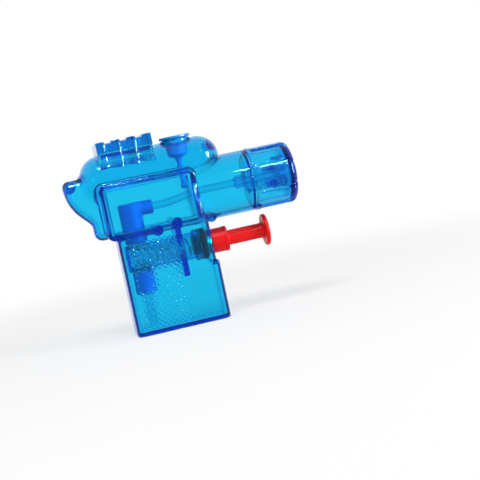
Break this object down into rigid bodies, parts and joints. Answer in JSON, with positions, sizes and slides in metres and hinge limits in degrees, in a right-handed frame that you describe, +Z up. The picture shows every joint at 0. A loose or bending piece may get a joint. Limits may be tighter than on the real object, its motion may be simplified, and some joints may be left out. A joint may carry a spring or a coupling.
{
  "type": "mini water squirter",
  "caption": "Pocket water squirter with a clear blue two-half casing, a spring-return piston pump worked by a red push trigger, a fluted screw cap at the nozzle and a soft filler stopper.",
  "frame": {"origin": "on the plane the grip's base stands on, midway between the rear spur and the muzzle, on the seam between the two casing halves", "axes": "+X towards the muzzle, +Y to the squirter's left, +Z up from the grip's base"},
  "size_m": [0.087, 0.024, 0.074],
  "materials": {
    "clear_blue": "clear blue moulded plastic, polished, darker where a wall is seen edge on",
    "cap_blue": "deeper clear blue moulded plastic, polished",
    "mid_blue": "opaque mid blue moulded plastic",
    "soft_blue": "soft satin blue stopper",
    "clear_tube": "clear soft tube",
    "red": "glossy red moulded plastic",
    "rubber": "milky silicone seal",
    "steel": "bright spring steel"
  },
  "bodies": {
    "casing": {"right_shell": "clear_blue", "left_shell": "clear_blue", "top_rail": "clear_blue", "pump_cylinder": "clear_blue", "pump_collar": "red", "collar_gasket": "rubber", "riser_elbow": "mid_blue", "outlet_seat": "mid_blue", "nozzle_tube": "clear_tube", "inlet_valve": "mid_blue", "suction_tube": "clear_tube", "return_spring": "steel"},
    "trigger": {"trigger_plunger": "red", "piston_seal": "rubber"},
    "stopper": {"filler_plug": "soft_blue"},
    "nozzle_core": {"nozzle_tip": "cap_blue", "cap_seal": "rubber"},
    "screw_cap": {"nozzle_cap": "cap_blue"},
    "inlet_check": {"inlet_ball": "steel"},
    "outlet_check": {"outlet_ball": "steel"}
  },
  "joints": [
    {"name": "trigger_press", "type": "slide", "parent": "casing", "child": "trigger", "axis": [-1, 0, 0], "range_m": [0, 0.012], "stiffness_N_per_m": 150, "springref_m": -0.006, "deforming": ["return_spring"]},
    {"name": "plug_pull", "type": "slide", "parent": "casing", "child": "stopper", "axis": [0, 0, 1], "range_m": [0, 0.024]},
    {"name": "cap_travel", "type": "slide", "parent": "casing", "child": "nozzle_core", "axis": [1, 0, 0], "range_m": [0, 0.00301]},
    {"name": "cap_twist", "type": "hinge", "parent": "nozzle_core", "child": "screw_cap", "pos_m": [0.0269, 0, 0.049], "axis": [1, 0, 0], "range_deg": [0, 360]},
    {"name": "inlet_lift", "type": "slide", "parent": "casing", "child": "inlet_check", "axis": [0, 0, 1], "range_m": [0, 0.001]},
    {"name": "outlet_lift", "type": "slide", "parent": "casing", "child": "outlet_check", "axis": [0, 0, 1], "range_m": [0, 0.001]}
  ],
  "couplings": [
    {"joint": "cap_travel", "follows": "cap_twist", "m_per_rad": 0.00047746}
  ]
}
